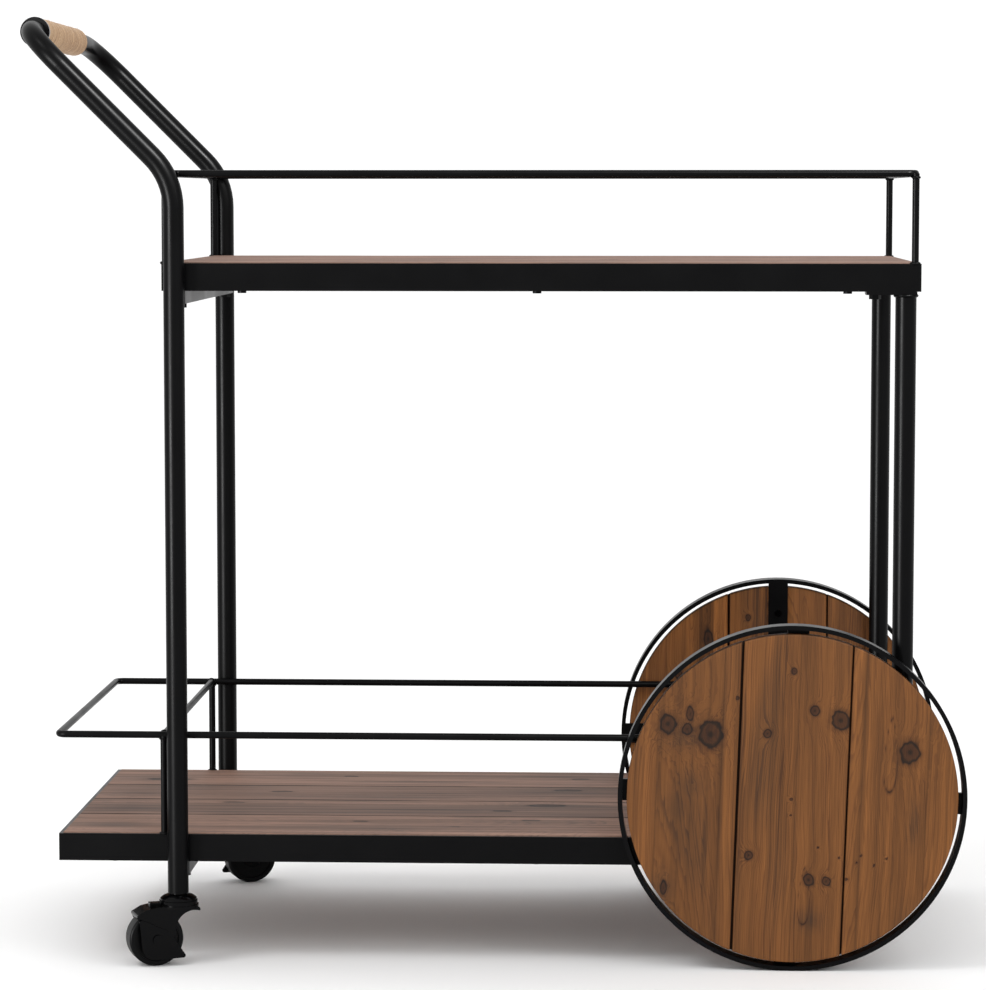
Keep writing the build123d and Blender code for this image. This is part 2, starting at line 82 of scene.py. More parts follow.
# %% Camera
IMAGE_LONG_SIDE = 990                       # the image is 986 by 990
focal_in_image = 3526.2                     # the lens's length, in widths of one image point
tilt_down = 0.0848                          # radians
turn_to_handle = 0.0452
camera_data = bpy.data.cameras.new("camera")
camera_data.sensor_width = 36.0
camera_data.lens = camera_data.sensor_width * focal_in_image / IMAGE_LONG_SIDE
camera = bpy.data.objects.new("camera", camera_data)
camera.location = (0.1475, -3.358, 0.7005)
camera.rotation_euler = (pi / 2 - tilt_down, 0.0, turn_to_handle)
bpy.context.scene.collection.objects.link(camera)
bpy.context.scene.camera = camera
print("lens", round(camera_data.lens, 1), "mm")

# %% [markdown]
# ## Building materials
#
# Every finish is a small tree of nodes that ends in one shader. Three helpers keep the
# trees readable: one turns the sRGB hex colours that people read off swatches into the
# linear values that a renderer needs, one starts a material with its fixed values on the
# shader itself, and one adds any node with its settings, its inputs and its links.

# %% Helpers for materials
def hex_colour(text):
    """sRGB hex to linear: below 0.04045 it is divided by 12.92, above it is a 2.4 power curve."""
    srgb = np.array([int(text[i : i + 2], 16) for i in (1, 3, 5)]) / 255.0
    linear = np.where(srgb <= 0.04045, srgb / 12.92, ((srgb + 0.055) / 1.055) ** 2.4)
    return (*linear.tolist(), 1.0)


def start_material(name, fixed):
    """A new material, its tree and its shader, with the fixed values set on the shader's sockets."""
    made = bpy.data.materials.new(name)
    made.use_nodes = True
    shader = made.node_tree.nodes["Principled BSDF"]
    for socket, value in fixed.items():
        shader.inputs[socket].default_value = value
    return made, made.node_tree, shader


def add(tree, kind, inputs=None, stops=None, **settings):
    """One node: its settings, then its inputs, each a value or a socket to link, then any ramp stops."""
    node = tree.nodes.new(kind)
    for name, value in settings.items():
        setattr(node, name, value)
    for key, value in (inputs or {}).items():
        if isinstance(value, bpy.types.NodeSocket):
            tree.links.new(value, node.inputs[key])
        else:
            node.inputs[key].default_value = value
    for number, (place, colour) in enumerate(stops or ()):
        ramp = node.color_ramp.elements
        stop = ramp[number] if number < 2 else ramp.new(place)
        stop.position = place
        stop.color = hex_colour(colour) if isinstance(colour, str) else (colour, colour, colour, 1.0)
    return node


def link(tree, source, shader, socket):
    """Feeds one of the shader's sockets."""
    tree.links.new(source, shader.inputs[socket])


# %% [markdown]
# ## Black powder coat
#
# The tubes, angle iron, rods and hoops are mild steel, blasted and powder coated in
# fine-textured satin black. Baked powder leaves a skin like fine leather: grains about half
# a millimetre wide that break up every highlight, and a broader unevenness where the powder
# lay thicker. The grains are drawn at 0.9 mm, a little coarse, so that they show. The coat
# is paint, so it is not metallic. Its skin scatters most of what it reflects, so the shine
# is set low; the enamel, the rubber and the plastics have their own grain and shine.

# %% Powder coat, enamel, plastics and rubber
THICK_AND_THIN = 45 * MM                    # size of the patches where paint lay thicker


def painted(name, colour, roughness, spread, grain_mm, relief_mm, shine):
    """Paint whose roughness wanders by spread and whose skin has grains of one size and depth."""
    made, tree, shader = start_material(
        name, {"Base Color": hex_colour(colour), "Specular IOR Level": shine}
    )
    place = add(tree, "ShaderNodeTexCoord").outputs["Object"]
    grain = add(
        tree, "ShaderNodeTexNoise", {"Vector": place, "Scale": 1 / (grain_mm * MM), "Detail": 2.0}
    ).outputs["Fac"]
    broad = add(
        tree, "ShaderNodeTexNoise", {"Vector": place, "Scale": 1 / THICK_AND_THIN, "Detail": 3.0}
    ).outputs["Fac"]
    rough = add(
        tree,
        "ShaderNodeMapRange",
        {
            "Value": broad,
            "From Min": 0.3,
            "From Max": 0.7,
            "To Min": roughness - spread,
            "To Max": roughness + spread,
        },
    ).outputs["Result"]
    skin = add(
        tree, "ShaderNodeBump", {"Height": grain, "Strength": 0.6, "Distance": relief_mm * MM}
    ).outputs["Normal"]
    link(tree, rough, shader, "Roughness")
    link(tree, skin, shader, "Normal")
    return made


powder_coat = painted("fine_textured_black_powder_coat", "#060607", 0.33, 0.05, 0.9, 0.05, 0.06)
stove_enamel = painted("gloss_black_stove_enamel", "#030304", 0.14, 0.04, 2.5, 0.03, 0.09)
hub_plastic = painted("injection_moulded_black_polypropylene", "#050506", 0.3, 0.05, 1.2, 0.02, 0.08)
collar_plastic = painted("gloss_black_vinyl_collar", "#070708", 0.14, 0.03, 4.0, 0.02, 0.3)
tread_rubber = painted("black_thermoplastic_rubber", "#060607", 0.42, 0.08, 0.8, 0.06, 0.08)
print("painted, moulded and rubber finishes made")

# %% [markdown]
# ## Zinc-plated steel
#
# The axles, screws and washers are zinc plated and barrel tumbled: bright, slightly blue
# steel with a soft, cloudy reflection and tiny dents from the barrel.

# %% Zinc plate
zinc_plate, tree, shader = start_material(
    "barrel_plated_zinc_steel", {"Base Color": hex_colour("#a9abad"), "Metallic": 1.0}
)
place = add(tree, "ShaderNodeTexCoord").outputs["Object"]
cloud = add(
    tree, "ShaderNodeTexNoise", {"Vector": place, "Scale": 1 / (3 * MM), "Detail": 3.0}
).outputs["Fac"]
rough = add(
    tree, "ShaderNodeMapRange", {"Value": cloud, "To Min": 0.22, "To Max": 0.48}
).outputs["Result"]
dents = add(
    tree, "ShaderNodeBump", {"Height": cloud, "Strength": 0.5, "Distance": 0.03 * MM}
).outputs["Normal"]
link(tree, rough, shader, "Roughness")
link(tree, dents, shader, "Normal")
print("zinc plate made")

# %% [markdown]
# ## Reclaimed softwood
#
# The boards are old fir and pine, sawn flat, glued up from staves and left matt. Three
# things make such wood: growth rings cut lengthways, knots that the rings flow round, and
# long fine fibres. The rings and knots belong to each board, so they are worked out with
# numpy where a board is made, and stored on its points as two attributes:
#
# - growth holds the ring count at the point, and its place along and across the board;
# - marks holds how deep it lies in a knot, the stave's own tone, and any grey stain; a knot
#   depth of 0.5 in a groove or seam paints it near-black, as painted shade.
#
# The material only has to draw them: every ring fades from pale early wood to a thin dark
# line of late wood, fibres streak it along the board, and knots, painted shade and stains tint it.

# %% Wood
MIX_FACTOR, MIX_A, MIX_B, MIX_RESULT = 0, 6, 7, 2      # the Mix node's colour sockets
# How many times a pattern repeats: in a ring, in a metre along and in a metre across the board
FIBRES = (0.3, 25.0, 1400.0)                           # 0.7 mm across and 40 mm long
STREAKS = (0.02, 3.3, 160.0)                           # 6 mm across and 300 mm long
# The place in a ring, from 0 to 1, and how much of it is late wood; a ramp's two ends come first
LATE_WOOD = ((0.0, 0.05), (1.0, 0.05), (0.5, 0.15), (0.84, 0.7), (0.94, 0.65))
# How deep in a knot, and how far the knot's own colour covers the board's
KNOT_COVER = ((0.1, 0.0), (1.0, 0.95), (0.38, 0.45), (0.47, 0.95), (0.6, 0.75), (0.85, 0.8))


def wood(name, early, late, rim, heart, weathered, shine, streaking):
    """Sawn softwood drawn from a board's growth and marks attributes."""
    made, tree, shader = start_material(name, {"Specular IOR Level": shine})

    def node(kind, inputs, **settings):
        return add(tree, kind, inputs, **settings).outputs

    growth = node("ShaderNodeAttribute", {}, attribute_name="growth")["Vector"]
    marks = node("ShaderNodeAttribute", {}, attribute_name="marks")["Vector"]
    rings, along, across = node("ShaderNodeSeparateXYZ", {0: growth})
    knot, tone, stain = node("ShaderNodeSeparateXYZ", {0: marks})
    fibre_place = node("ShaderNodeVectorMath", {0: growth, 1: FIBRES}, operation="MULTIPLY")[0]
    streak_place = node("ShaderNodeVectorMath", {0: growth, 1: STREAKS}, operation="MULTIPLY")[0]
    fibre = node("ShaderNodeTexNoise", {"Vector": fibre_place, "Scale": 1.0, "Detail": 3.0})[0]
    streak = node("ShaderNodeTexNoise", {"Vector": streak_place, "Scale": 1.0, "Detail": 4.0})[0]
    # Good and bad summers: over some ten rings they crowd or spread, and show more or less
    summers = node("ShaderNodeTexNoise", {"Vector": growth, "Scale": 0.45, "Detail": 2.0})[0]
    wavering = node("ShaderNodeMath", {0: streak, 1: 2.6, 2: rings}, operation="MULTIPLY_ADD")[0]
    uneven = node("ShaderNodeMath", {0: summers, 1: 7.0, 2: wavering}, operation="MULTIPLY_ADD")[0]
    part = node("ShaderNodeMath", {0: uneven}, operation="FRACT")[0]
    strength = node(
        "ShaderNodeMapRange",
        {0: summers, "From Min": 0.35, "From Max": 0.65, "To Min": 0.25, "To Max": 0.9},
    )[0]
    full_ring = node("ShaderNodeValToRGB", {0: part}, stops=LATE_WOOD)[0]
    late_wood = node("ShaderNodeMath", {0: full_ring, 1: strength}, operation="MULTIPLY")[0]
    ringed = node(
        "ShaderNodeMix",
        {MIX_FACTOR: late_wood, MIX_A: hex_colour(early), MIX_B: hex_colour(late)},
        data_type="RGBA",
    )[MIX_RESULT]
    fibre_light = node(
        "ShaderNodeMapRange",
        {0: fibre, "From Min": 0.25, "From Max": 0.75, "To Min": 0.79, "To Max": 1.21},
    )[0]
    streak_light = node(
        "ShaderNodeMapRange",
        {0: streak, "From Min": 0.3, "From Max": 0.7, "To Min": 1 - streaking, "To Max": 1 + streaking},
    )[0]
    tone_light = node(
        "ShaderNodeMapRange",
        {0: tone, "From Min": -1.0, "From Max": 2.0, "To Min": 0.66, "To Max": 1.68},
    )[0]
    light = node("ShaderNodeMath", {0: fibre_light, 1: streak_light}, operation="MULTIPLY")[0]
    light = node("ShaderNodeMath", {0: light, 1: tone_light}, operation="MULTIPLY")[0]
    lit = node("ShaderNodeVectorMath", {0: ringed, "Scale": light}, operation="SCALE")[0]
    # Damp creeps along the late wood first, so a stain is strongest there
    soaked = node("ShaderNodeMath", {0: late_wood, 1: 0.9, 2: 0.55}, operation="MULTIPLY_ADD")[0]
    stained = node("ShaderNodeMath", {0: stain, 1: soaked}, operation="MULTIPLY", use_clamp=True)[0]
    greyed = node(
        "ShaderNodeMix",
        {MIX_FACTOR: stained, MIX_A: lit, MIX_B: hex_colour(weathered)},
        data_type="RGBA",
    )[MIX_RESULT]
    # A knot darkens from its halo to its bark ring, and is redder inside
    bark_and_heart = ((0.46, rim), (0.55, rim), (0.62, heart), (0.8, heart), (0.9, rim))
    # At a depth of 0.5 the same colours paint grooves and seams near-black: painted shade
    knot_colour = node(
        "ShaderNodeValToRGB", {0: knot}, stops=((0.3, late), (1.0, rim), *bark_and_heart)
    )[0]
    knot_cover = node("ShaderNodeValToRGB", {0: knot}, stops=KNOT_COVER)[0]
    colour = node(
        "ShaderNodeMix", {MIX_FACTOR: knot_cover, MIX_A: greyed, MIX_B: knot_colour}, data_type="RGBA"
    )[MIX_RESULT]
    rough = node("ShaderNodeMapRange", {0: late_wood, "To Min": 0.74, "To Max": 0.56})[0]
    relief = node("ShaderNodeMath", {0: fibre, 1: 0.5, 2: late_wood}, operation="MULTIPLY_ADD")[0]
    skin = node("ShaderNodeBump", {"Height": relief, "Strength": 0.5, "Distance": 0.12 * MM})[0]
    link(tree, colour, shader, "Base Color")
    link(tree, rough, shader, "Roughness")
    link(tree, skin, shader, "Normal")
    return made


wheel_wood = wood(
    "oiled_reclaimed_fir", "#724721", "#3c1f0b", "#0d0603", "#2c1509", "#2b2119", 0.12, 0.32
)
shelf_wood = wood(
    "weathered_reclaimed_pine", "#7b5f51", "#4f392e", "#140e0b", "#2c1e17", "#39302b", 0.2, 0.42
)
print("two woods made")

# %% [markdown]
# ## Jute twine
#
# Jute is a coarse plant fibre, spun and plied into a dry, pale tan twine with loose hairs.
# Each turn shows fibres that run slantwise along the ply, in tans that vary from thread to
# thread. The twine's own points carry how far along it and how far round it they lie, so
# the fibres follow the yarn and not the room.

# %% Jute
jute, tree, shader = start_material(
    "plied_natural_jute", {"Roughness": 0.9, "Specular IOR Level": 0.15, "Sheen Weight": 0.25}
)
THREADS = (220.0, 1.6, 60.0)                # how finely each of the three yarn values is divided
yarn = add(tree, "ShaderNodeAttribute", attribute_name="yarn").outputs["Vector"]
thread_place = add(
    tree, "ShaderNodeVectorMath", {0: yarn, 1: THREADS}, operation="MULTIPLY"
).outputs[0]
fibres = add(
    tree, "ShaderNodeTexNoise", {"Vector": thread_place, "Scale": 1.0, "Detail": 3.0}
).outputs[0]
tan = add(
    tree,
    "ShaderNodeValToRGB",
    {0: fibres},
    stops=((0.25, "#6b4f37"), (0.8, "#dcbf9d"), (0.42, "#a58362"), (0.6, "#c4a480")),
).outputs[0]
fuzz = add(
    tree, "ShaderNodeBump", {"Height": fibres, "Strength": 0.7, "Distance": 0.25 * MM}
).outputs[0]
link(tree, tan, shader, "Base Color")
link(tree, fuzz, shader, "Normal")
print("jute made")

# %% [markdown]
# ## Helpers for surfaces
#
# A piece is an array of points and an array of quads. A grid of points gives its quads from
# its row and column numbers alone, so no loop visits a point. Faces must point outwards:
# the signed volume of the closed shell is negative when they point inwards, and then every
# face is turned over at once.

# %% Helpers for surfaces
def grid_quads(rows, columns, wrap=False):
    """Corner numbers of a grid's quads; wrap also joins the last column to the first."""
    number = np.arange(rows * columns).reshape(rows, columns)
    if wrap:
        number = np.hstack((number, number[:, :1]))
    corners = (number[:-1, :-1], number[:-1, 1:], number[1:, 1:], number[1:, :-1])
    return np.stack(corners, axis=-1).reshape(-1, 4)


def is_outward(points, faces):
    """Whether the volume that the faces enclose, measured from their middle, comes out positive."""
    corners = points[faces] - points.mean(axis=0)
    first = np.einsum("ij,ij->i", corners[:, 0], np.cross(corners[:, 1], corners[:, 2]))
    second = np.einsum("ij,ij->i", corners[:, 0], np.cross(corners[:, 2], corners[:, 3]))
    return first.sum() + second.sum() > 0


def make_piece(name, points, faces, material, body, attributes=None):
    """A smooth-shaded mesh object with its place in its points, riding on a body of the cart."""
    mesh = bpy.data.meshes.new(name)
    facing_out = faces if is_outward(points, faces) else faces[:, ::-1]
    mesh.from_pydata(points.tolist(), [], facing_out.tolist())
    mesh.validate()
    mesh.polygons.foreach_set("use_smooth", np.ones(len(mesh.polygons), dtype=bool))
    for key, values in (attributes or {}).items():
        layer = mesh.attributes.new(key, "FLOAT_VECTOR", "POINT")
        layer.data.foreach_set("vector", values.astype(np.float32).ravel())
    mesh.materials.append(material)
    piece = bpy.data.objects.new(name, mesh)
    bpy.context.scene.collection.objects.link(piece)
    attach(piece, body)
    print(name, len(mesh.polygons), "faces")
    return piece


def waver(x, y, size, seed):
    """Smooth unevenness within 1: six sine waves, in random directions and of about the given length."""
    random = np.random.default_rng(seed)
    total = np.zeros(np.broadcast(x, y).shape)
    for turn, stretch, phase in zip(
        random.uniform(0, pi, 6), random.uniform(0.6, 1.7, 6), random.uniform(0, 2 * pi, 6)
    ):
        total += np.sin(2 * pi * (x * cos(turn) + y * sin(turn)) / (size * stretch) + phase)
    return total / 6


# %% [markdown]
# ## Boards
#
# A board is a slab: an outer face and an inner face on the same grid, joined by a wall
# round their rims. Its edges are worn round, so the faces fall away near the rim by a
# quarter circle, and each face has the faint waves that a plane leaves. Grid lines crowd
# together at the rim, where the surface turns, and beside each glue line.
#
# A saw cuts flat through rings that are nearly cylinders round the tree's heart. So the
# ring count at a point is its distance from the heart divided by the width of one ring,
# and because the heart runs at a slight angle to the board, the lines draw long arches.
# A knot adds a few closed rings round itself, which bends its neighbours aside.

# %% Helpers for boards
edge_steps = np.array([0.0, 0.25, 0.6, 1.0, 1.7]) * MM     # grid lines from a rim inwards
rim_strip = 2.2 * MM                                       # no evenly spaced line comes nearer
edge_wear = 1.0 * MM
glue_line = 0.12 * MM                                      # half the width of a glue line
glue_dip = 0.5 * MM                                        # how far from it the wood has shrunk


def lines_between(low, high, step, glue_lines=()):
    """Grid lines from low to high: crowded at both ends and as a close pair at each glue line."""
    inside = np.linspace(low, high, int(round((high - low) / step)) + 1)
    inside = inside[(inside > low + rim_strip) & (inside < high - rim_strip)]
    pairs = np.array([line + s * glue_line for line in glue_lines for s in (-1, 1)])
    return np.unique(np.concatenate((low + edge_steps, high - edge_steps, inside, pairs)))


def worn(from_rim):
    """How far a face falls near its rim: a quarter circle whose radius is the edge wear."""
    inward = np.clip(edge_wear - from_rim, 0, edge_wear)
    return edge_wear - np.sqrt(edge_wear**2 - inward**2)


def near_glue(across, glue_lines):
    """How near a point is to a glue line: a bell curve, 1 on the line and 0 away from all of them."""
    nearness = np.zeros(across.shape)
    for line in glue_lines:
        nearness = np.maximum(nearness, np.exp(-(((across - line) / glue_dip) ** 2)))
    return nearness


def grain(across, along, depth, glue_lines, tones, knots, stains, outlines, seed):
    """Growth and marks of every point, as described above.

    Knots, stains and outlines are (across, along, radius across, radius along) in millimetres.
    An outline is where the saw only just met a branch: a thin line in the shape of a flame.
    """
    random = np.random.default_rng(seed)
    across_mm, along_mm = across / MM, along / MM
    stave = np.searchsorted(np.array(glue_lines), across) if glue_lines else np.zeros(across.shape, int)
    count = len(glue_lines) + 1
    middle = (across.max() + across.min()) / 2
    heart = (middle + random.uniform(-60, 60, count) * MM)[stave]
    below = (random.uniform(12, 55, count) * MM)[stave]
    lean = random.uniform(-0.16, 0.16, count)[stave]
    ring_width = (random.uniform(1.7, 3.0, count) * MM)[stave]
    bow = 5 * MM * waver(across * 0.2, along, 160 * MM, seed + 1)
    heart_depth = below + depth + lean * (along + 0.4)     # it leans from 0.4 m before the middle
    rings = np.hypot(across - heart + bow, heart_depth) / ring_width
    knot = np.zeros(across.shape)
    ragged = 1 + 0.2 * waver(across, along, 9 * MM, seed + 2)
    ragged = ragged + 0.08 * waver(across, along, 4 * MM, seed + 8)
    for knot_across, knot_along, radius, length in knots:
        away = np.hypot((across_mm - knot_across) / radius, (along_mm - knot_along) / length) * ragged
        rings = rings + (1.5 + radius * 0.35) * np.exp(-((away / 2.2) ** 2))
        knot = np.maximum(knot, np.clip(1 - away / 2, 0, 1))
    for line_across, line_along, radius, length in outlines:
        up = (along_mm - line_along) / length
        away = np.hypot((across_mm - line_across) / radius / (1 - 0.45 * np.clip(up, -1, 1)), up)
        knot = np.maximum(knot, 0.46 * np.exp(-(((away - 1) / 0.1) ** 2)))
    stain = np.clip(waver(across * 2.5, along, 190 * MM, seed + 3) * 1.4 - 0.35, 0, 0.5)
    for stain_across, stain_along, radius, length in stains:
        away = np.hypot((across_mm - stain_across) / radius, (along_mm - stain_along) / length)
        stain = np.maximum(stain, 0.75 * np.exp(-((away * ragged) ** 2)))
    tone = np.array(tones)[stave] + 0.25 * waver(across * 3, along, 240 * MM, seed + 4)
    tone = tone + 0.35 * waver(across * 9, along * 0.6, 160 * MM, seed + 5)
    for line in glue_lines:
        tone = tone - 0.9 * np.exp(-(((across - line) / (0.7 * MM)) ** 2))
    growth = np.stack((rings, along + seed, across), axis=-1)
    marks = np.stack((knot, tone, stain), axis=-1)
    return growth.reshape(-1, 3), marks.reshape(-1, 3)


def slab_faces(rows, columns):
    """Quads of two grids of one size, one behind the other, and of the wall that joins their rims."""
    face = grid_quads(rows, columns)
    number = np.arange(rows * columns).reshape(rows, columns)
    rim = np.concatenate((number[0, :-1], number[:-1, -1], number[-1, :0:-1], number[:0:-1, 0]))
    following = np.roll(rim, -1)
    behind = rows * columns
    wall = np.stack((following, rim, rim + behind, following + behind), axis=-1)
    return np.concatenate((face, face[:, ::-1] + behind, wall))


# %% [markdown]
# ## The big wheels' boards
#
# Each wheel is filled by three boards cut to a circle. Their long edges are rebated, so a
# groove lies between two boards and nothing shows through it; its floor is painted
# near-black, as painted shade. Each board is glued up from staves that differ a little in
# tone. The outer boards narrow towards the wheel's edge, so their columns are spaced by
# angle, which keeps the circle round, and every column runs from one side of the circle to
# the other.

# %% Wheel boards
wheel_x, wheel_z = 275 * MM, 157.5 * MM
disc_radius = 149.4 * MM
disc_outer, disc_inner = 202.5 * MM, 188.0 * MM
seam = 49.5 * MM
wheel_turn = {"near": radians(2.0), "far": 0.0}
# The rebate at the low and the high edge of the left, middle and right board
rebate_depth = 5 * MM
rebate_widths = ((0.0, 1.15 * MM), (1.15 * MM, 0.85 * MM), (0.85 * MM, 0.0))
rebate_steps = (-0.04, 0.04, 0.35, 0.8)           # columns round a rebate's side, millimetres
column_step = 1.25 * MM
middle_rows = 230
# An outer board's last column stops just short of the disc's edge, where a chord has no length
disc_edge = disc_radius * 0.9985
board_spans = ((-disc_edge, -seam), (-seam, seam), (seam, disc_edge))
# Glue lines, millimetres across, and the tones of the staves between them
near_staves = (
    ((-123.0, -64.5), (0.1, -0.4, -0.05)),
    ((3.0,), (0.25, 0.0)),
    ((62.0, 92.0, 121.0), (0.5, 0.2, 0.0, 0.25)),
)
far_staves = (
    ((-112.0, -79.0, -65.0), (0.3, 0.0, -1.6, 0.6)),
    ((-12.0, 22.0), (0.3, -0.2, 0.2)),
    ((88.0,), (-0.3, 0.0)),
)
inner_face_lift = {"near": 0.0, "far": 1.0}       # how much lighter each wheel's inner face is drawn, in tone
# Knots: across and along the wheel from its axle, radius across and length along, millimetres
near_knots = (
    (
        (-75.8, 56.3, 9.5, 11.0),
        (-114.5, 64.0, 6.5, 8.0),
        (-97.0, 60.0, 4.0, 5.0),
        (-95.0, 74.0, 3.0, 6.0),
        (-52.8, 89.9, 1.4, 2.0),
        (-113.0, -86.0, 2.5, 6.0),
    ),
    (
        (-2.8, 116.6, 2.2, 2.6),
        (17.1, 81.3, 4.0, 4.2),
        (40.5, 73.5, 7.5, 8.0),
        (-24.5, 58.9, 3.3, 3.8),
        (-37.0, -52.7, 3.5, 3.8),
        (17.6, -73.0, 4.4, 5.0),
        (33.7, -73.7, 3.4, 3.6),
        (25.0, -43.0, 0.9, 1.1),
        (44.3, -51.6, 0.9, 1.1),
        (-0.8, 0.0, 1.3, 1.3),
        (-0.8, -14.5, 0.9, 0.9),
    ),
    (
        (103.8, 47.0, 8.0, 9.0),
        (60.7, -55.4, 0.9, 1.1),
        (64.2, -48.8, 0.9, 1.1),
        (86.8, -50.5, 1.0, 1.2),
        (52.0, -71.0, 1.3, 1.6),
        (76.4, -57.1, 0.9, 1.2),
    ),
)
# Grey stains, in the same terms
near_stains = (
    (
        (-92.0, 8.0, 14.0, 16.0),
        (-104.0, -14.0, 14.0, 22.0),
        (-113.0, -86.0, 10.0, 16.0),
        (-96.0, 54.0, 22.0, 14.0),
    ),
    ((20.0, -110.0, 12.0, 10.0),),
    ((110.0, -20.0, 5.0, 22.0),),
)
far_stains = ((), (), ())
# Flame-shaped outlines, in the same terms
near_outlines = ((), ((14.0, -88.0, 5.0, 26.0),), ((86.8, 44.0, 5.5, 34.0),))
far_outlines = ((), (), ())
far_knots = (
    ((-70.0, 96.0, 4.0, 9.0), (-100.0, 60.0, 3.5, 4.0)),
    ((18.0, 40.0, 4.0, 5.0), (-30.0, 118.0, 2.4, 3.0)),
    ((74.0, 60.0, 5.0, 6.0), (112.0, -30.0, 4.0, 5.0)),
)


def wheel_board(side_name, side, number, glue_mm, tones, knots, stains, outlines):
    """One board of a wheel: columns across it, each a chord of the disc, carried to both faces."""
    low, high = board_spans[number]
    glue_lines = [g * MM for g in glue_mm]
    turn_low, turn_high = np.arcsin(low / disc_radius), np.arcsin(high / disc_radius)
    spread = disc_radius * np.sin(np.linspace(turn_low, turn_high, int((high - low) / column_step)))
    spread = spread[(spread > low + rim_strip) & (spread < high - rim_strip)]
    rebates = rebate_widths[number]
    groove_lines = [
        edge + inwards * (width + step * MM)
        for edge, inwards, width in ((low, 1, rebates[0]), (high, -1, rebates[1]))
        for step in rebate_steps
        if width > 0
    ]
    plain = lines_between(low, high, high - low, glue_lines)
    columns = np.unique(np.concatenate((plain, spread, groove_lines)))
    half = np.sqrt(disc_radius**2 - columns**2)
    ends = half - edge_steps[:, None]
    middle = np.linspace(-1, 1, middle_rows)[:, None] * (half - 2.6 * MM)
    along = np.concatenate((-ends, middle, ends[::-1]))
    across = np.broadcast_to(columns, along.shape)
    from_groove = np.minimum(across - low - rebates[0], high - across - rebates[1])
    from_rim = np.minimum(from_groove, disc_radius - np.hypot(across, along))
    fall = worn(np.clip(from_rim, 0, None))
    in_groove = from_groove < 0
    fall = np.where(in_groove, rebate_depth, fall)
    glued = near_glue(across, glue_lines)
    turn = wheel_turn[side_name]
    seed = 10 * number + (100 if side > 0 else 0)
    faces_of_slab, growths, all_marks = [], [], []
    for distance, inward in ((disc_outer, -1), (disc_inner, 1)):
        growth, marks = grain(
            across, along, disc_outer - distance, glue_lines, tones, knots, stains, outlines, seed
        )
        # The groove's floor is painted near-black with the bark colour: painted shade in the gap between
        # boards
        marks[in_groove.ravel(), 0] = 0.5
        if distance == disc_inner:
            marks[:, 1] += inner_face_lift[side_name]
        planed = 0.12 * MM * waver(across, along * 0.3, 40 * MM, seed + 7)
        sunk = 0.35 * MM * np.clip(marks[:, 0].reshape(across.shape) - 0.4, 0, 1)
        height = distance + inward * (fall + np.abs(planed) + sunk + 0.12 * MM * glued)
        x = wheel_x + across * cos(turn) + along * sin(turn)
        z = wheel_z - across * sin(turn) + along * cos(turn)
        faces_of_slab.append(np.stack((x, side * height, z), axis=-1).reshape(-1, 3))
        growths.append(growth)
        all_marks.append(marks)
    name = f"{side_name}_wheel_plank_{number + 1}"
    piece = make_piece(
        name,
        np.concatenate(faces_of_slab),
        slab_faces(*across.shape),
        wheel_wood,
        f"{side_name}_wheel",
        {"growth": np.concatenate(growths), "marks": np.concatenate(all_marks)},
    )
    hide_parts(f"{side_name}_wheel_board_{number + 1}")


for side_name, side, *marked in (
    ("near", -1, near_staves, near_knots, near_stains, near_outlines),
    ("far", 1, far_staves, far_knots, far_stains, far_outlines),
):
    for number in range(3):
        staves, knots, stains, outlines = (kind[number] for kind in marked)
        wheel_board(side_name, side, number, *staves, knots, stains, outlines)

# %% [markdown]
# ## The shelf boards
#
# Four boards lie side by side in each shelf's frame, a millimetre proud of the angle iron.
# They are straight slabs on the same plan, and each takes its size from the imported board
# that it stands for. Damp has left grey stains, and painted shade darkens the seams between
# boards.

# %% Shelf boards
shelf_glue_lines = ((-20.0,), (18.0,), (-12.0,), (10.0,))          # from each board's middle
shelf_tones = {
    "upper": ((1.2, 0.9), (0.7, 1.0), (1.2, 0.7), (0.8, 1.2)),
    "lower": ((0.7, 0.2), (-0.6, 0.1), (0.1, -0.5), (0.55, 0.1)),
}
# Knots and stains from each board's middle: along, across, and their radii across and along
shelf_knots = {
    "upper": (
        ((-180.0, 10.0, 3.5, 7.0), (210.0, -14.0, 3.5, 8.0)),
        ((60.0, 8.0, 4.0, 8.0),),
        ((-90.0, -12.0, 3.5, 7.0), (260.0, 15.0, 4.0, 9.0)),
        ((150.0, 20.0, 4.0, 8.0), (-250.0, -6.0, 3.0, 7.0)),
    ),
    "lower": (
        ((-120.0, 18.0, 3.0, 6.0), (-30.0, -8.0, 2.0, 4.0), (40.0, 28.0, 2.5, 8.0)),
        ((52.0, 20.0, 5.5, 16.0), (10.0, -12.0, 3.0, 8.0), (-250.0, 26.0, 2.5, 10.0)),
        ((-210.0, 6.0, 3.0, 9.0), (70.0, 24.0, 4.0, 12.0), (150.0, -20.0, 2.5, 7.0)),
        ((-330.0, -14.0, 6.0, 18.0), (-150.0, 12.0, 3.0, 6.0), (80.0, 4.0, 3.0, 8.0)),
    ),
}
shelf_stains = ((-345.0, -10.0, 16.0, 40.0), (60.0, 18.0, 10.0, 60.0), (-90.0, -20.0, 8.0, 90.0))
dark_edge = 1.4 * MM                        # painted shade along the edges where two boards meet
